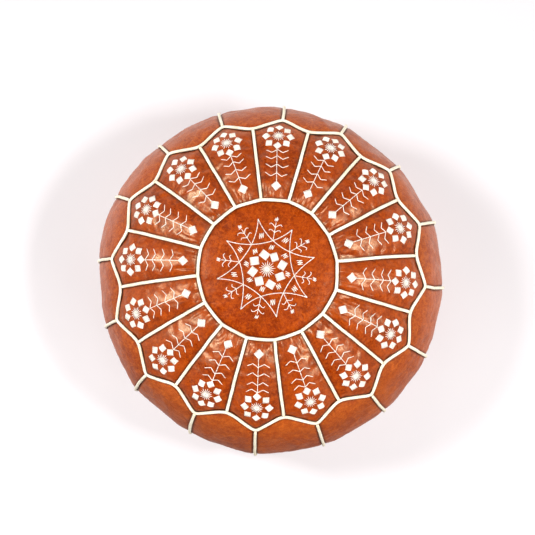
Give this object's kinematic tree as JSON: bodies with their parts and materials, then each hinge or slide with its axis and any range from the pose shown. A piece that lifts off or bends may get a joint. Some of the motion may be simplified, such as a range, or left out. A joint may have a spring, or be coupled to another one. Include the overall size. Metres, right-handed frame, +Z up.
{
  "type": "leather floor pouf",
  "caption": "Round stuffed floor pouf in sewn leather panels with corded cream seams, an embroidered top and a zipped base.",
  "frame": {"origin": "on the floor at the centre of the base", "axes": "+Z up out of the crown; +Y towards the top of the embroidered face's picture; X along the zip"},
  "size_m": [0.5235, 0.5233, 0.321],
  "materials": {
    "leather_top": "glazed tan leather",
    "leather_petals": "glazed tan leather",
    "leather_sides": "glazed tan leather, drier",
    "leather_base": "dull tan leather",
    "welt": "cream cord",
    "thread": "cream embroidery thread",
    "lining": "unbleached cotton",
    "stuffing": "packed textile filling",
    "zip_tape": "woven tape",
    "zip_teeth": "aged brass",
    "zip_metal": "aged brass",
    "seam_thread": "waxed thread"
  },
  "bodies": {
    "cover": {"top_medallion": "leather_top", "petal_panel_01": "leather_petals", "petal_panel_02": "leather_petals", "petal_panel_03": "leather_petals", "petal_panel_04": "leather_petals", "petal_panel_05": "leather_petals", "petal_panel_06": "leather_petals", "petal_panel_07": "leather_petals", "petal_panel_08": "leather_petals", "petal_panel_09": "leather_petals", "petal_panel_10": "leather_petals", "petal_panel_11": "leather_petals", "petal_panel_12": "leather_petals", "petal_panel_13": "leather_petals", "petal_panel_14": "leather_petals", "petal_panel_15": "leather_petals", "petal_panel_16": "leather_petals", "side_panel_01": "leather_sides", "side_panel_02": "leather_sides", "side_panel_03": "leather_sides", "side_panel_04": "leather_sides", "side_panel_05": "leather_sides", "side_panel_06": "leather_sides", "side_panel_07": "leather_sides", "side_panel_08": "leather_sides", "side_panel_09": "leather_sides", "side_panel_10": "leather_sides", "side_panel_11": "leather_sides", "side_panel_12": "leather_sides", "side_panel_13": "leather_sides", "side_panel_14": "leather_sides", "side_panel_15": "leather_sides", "side_panel_16": "leather_sides", "base_panel_front": "leather_base", "base_panel_rear": "leather_base", "medallion_welt": "welt", "petal_welts": "welt", "scallop_welt": "welt", "side_welts": "welt", "base_welt": "welt", "medallion_embroidery": "thread", "petal_flowers": "thread", "petal_stems": "thread", "petal_squares": "thread", "lining_bag": "lining", "stuffing": "stuffing", "zip_tape_front": "zip_tape", "zip_tape_rear": "zip_tape", "zip_teeth_front": "zip_teeth", "zip_teeth_rear": "zip_teeth", "zip_top_stops": "zip_teeth", "zip_bottom_stop": "zip_teeth", "zip_end_tabs": "leather_base", "zip_stitching": "seam_thread"},
    "zip_slider": {"zip_slider": "zip_metal"},
    "zip_pull": {"zip_pull": "zip_metal"}
  },
  "joints": [
    {"name": "zip_slide", "type": "slide", "parent": "cover", "child": "zip_slider", "axis": [-1, 0, 0], "range_m": [0, 0.288]},
    {"name": "pull_swing", "type": "hinge", "parent": "zip_slider", "child": "zip_pull", "pos_m": [0.145, 0, 0.00605], "axis": [0, -1, 0], "range_deg": [0, 180]}
  ]
}
